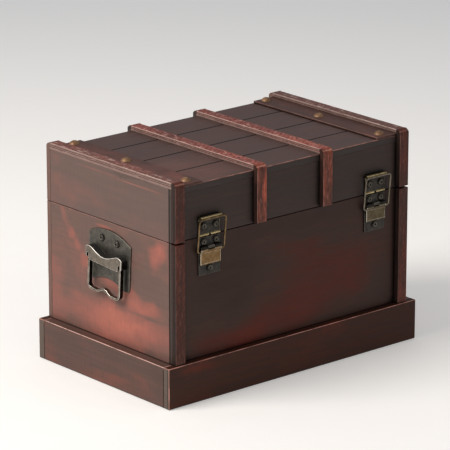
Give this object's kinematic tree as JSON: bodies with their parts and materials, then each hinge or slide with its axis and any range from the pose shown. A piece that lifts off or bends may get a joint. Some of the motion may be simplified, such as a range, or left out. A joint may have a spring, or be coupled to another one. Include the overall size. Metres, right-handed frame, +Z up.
{
  "type": "wooden money box",
  "caption": "Wooden money box shaped as a small chest on a plinth, with a hinged boarded lid under raised straps, wire toggle latches and drop handles.",
  "frame": {"origin": "centre of the underside, on the surface it stands on", "axes": "+X along the length to the right as seen from the front, -Y out of the front with the latches, +Z up"},
  "size_m": [0.22, 0.1372, 0.1505],
  "materials": {
    "panel_wood": "red-brown stain, brushed dark, satin lacquer",
    "lid_wood": "dark brown stain, satin lacquer",
    "strap_wood": "red stain rubbed back on the edges, satin lacquer",
    "rim_wood": "red-brown stain rubbed back on the edges, satin lacquer",
    "plinth_wood": "dark red-brown stain, satin lacquer",
    "dark_bronze": "blackened bronze plating",
    "antique_brass": "antique brass plating, bright on worn edges",
    "dark_screws": "blackened bronze plating"
  },
  "bodies": {
    "chest": {"back_panel": "panel_wood", "body_rim_back_left": "rim_wood", "body_rim_back_right": "rim_wood", "body_rim_front_left": "rim_wood", "body_rim_front_right": "rim_wood", "body_screws": "dark_screws", "bottom_panel": "panel_wood", "front_panel": "panel_wood", "handle_cover_left": "antique_brass", "handle_cover_right": "antique_brass", "handle_plate_left": "dark_bronze", "handle_plate_right": "dark_bronze", "handle_screws": "dark_screws", "hinge_body_leaf_left": "dark_bronze", "hinge_body_leaf_right": "dark_bronze", "hinge_pins": "dark_bronze", "latch_base_left": "dark_bronze", "latch_base_right": "dark_bronze", "latch_pins": "dark_bronze", "left_end_panel": "panel_wood", "plinth_back_board": "plinth_wood", "plinth_front_board": "plinth_wood", "plinth_left_board": "plinth_wood", "plinth_right_board": "plinth_wood", "right_end_panel": "panel_wood"},
    "lid": {"dome_nails": "antique_brass", "hinge_lid_leaf_left": "dark_bronze", "hinge_lid_leaf_right": "dark_bronze", "latch_catch_left": "dark_bronze", "latch_catch_right": "dark_bronze", "lid_back_rail": "panel_wood", "lid_front_rail": "panel_wood", "lid_left_end": "panel_wood", "lid_nail_strip_left": "lid_wood", "lid_nail_strip_right": "lid_wood", "lid_right_end": "panel_wood", "lid_rim_left_back": "rim_wood", "lid_rim_left_front": "rim_wood", "lid_rim_left_top": "rim_wood", "lid_rim_right_back": "rim_wood", "lid_rim_right_front": "rim_wood", "lid_rim_right_top": "rim_wood", "lid_screws": "dark_screws", "lid_slat_1": "lid_wood", "lid_slat_2": "lid_wood", "lid_slat_3": "lid_wood", "lid_slat_4": "lid_wood", "strap_left_back": "strap_wood", "strap_left_front": "strap_wood", "strap_left_top": "strap_wood", "strap_right_back": "strap_wood", "strap_right_front": "strap_wood", "strap_right_top": "strap_wood"},
    "left_lever": {"latch_lever_left": "antique_brass"},
    "left_loop": {"latch_loop_left": "antique_brass"},
    "left_ring": {"handle_ring_left": "antique_brass"},
    "right_lever": {"latch_lever_right": "antique_brass"},
    "right_loop": {"latch_loop_right": "antique_brass"},
    "right_ring": {"handle_ring_right": "antique_brass"}
  },
  "joints": [
    {"name": "lid_hinge", "type": "hinge", "parent": "chest", "child": "lid", "pos_m": [0, 0.0672, 0.11], "axis": [-1, 0, 0], "range_deg": [0, 110]},
    {"name": "left_latch_lever", "type": "hinge", "parent": "chest", "child": "left_lever", "pos_m": [-0.0715, -0.06515, 0.10285], "axis": [-1, 0, 0], "range_deg": [0, 120]},
    {"name": "left_latch_loop", "type": "hinge", "parent": "left_lever", "child": "left_loop", "pos_m": [-0.0715, -0.06515, 0.10025], "axis": [1, 0, 0], "range_deg": [0, 180]},
    {"name": "right_latch_lever", "type": "hinge", "parent": "chest", "child": "right_lever", "pos_m": [0.0745, -0.06515, 0.10285], "axis": [-1, 0, 0], "range_deg": [0, 120]},
    {"name": "right_latch_loop", "type": "hinge", "parent": "right_lever", "child": "right_loop", "pos_m": [0.0745, -0.06515, 0.10025], "axis": [1, 0, 0], "range_deg": [0, 180]},
    {"name": "left_handle_ring", "type": "hinge", "parent": "chest", "child": "left_ring", "pos_m": [-0.1062, 0, 0.0842], "axis": [0, 0.9981, 0.061], "range_deg": [0, 90]},
    {"name": "right_handle_ring", "type": "hinge", "parent": "chest", "child": "right_ring", "pos_m": [0.1062, 0, 0.0842], "axis": [0, -1, 0], "range_deg": [0, 90]}
  ],
  "couplings": [
    {"joint": "left_latch_loop", "follows": "left_latch_lever", "ratio": 1.5},
    {"joint": "right_latch_loop", "follows": "right_latch_lever", "ratio": 1.5}
  ]
}
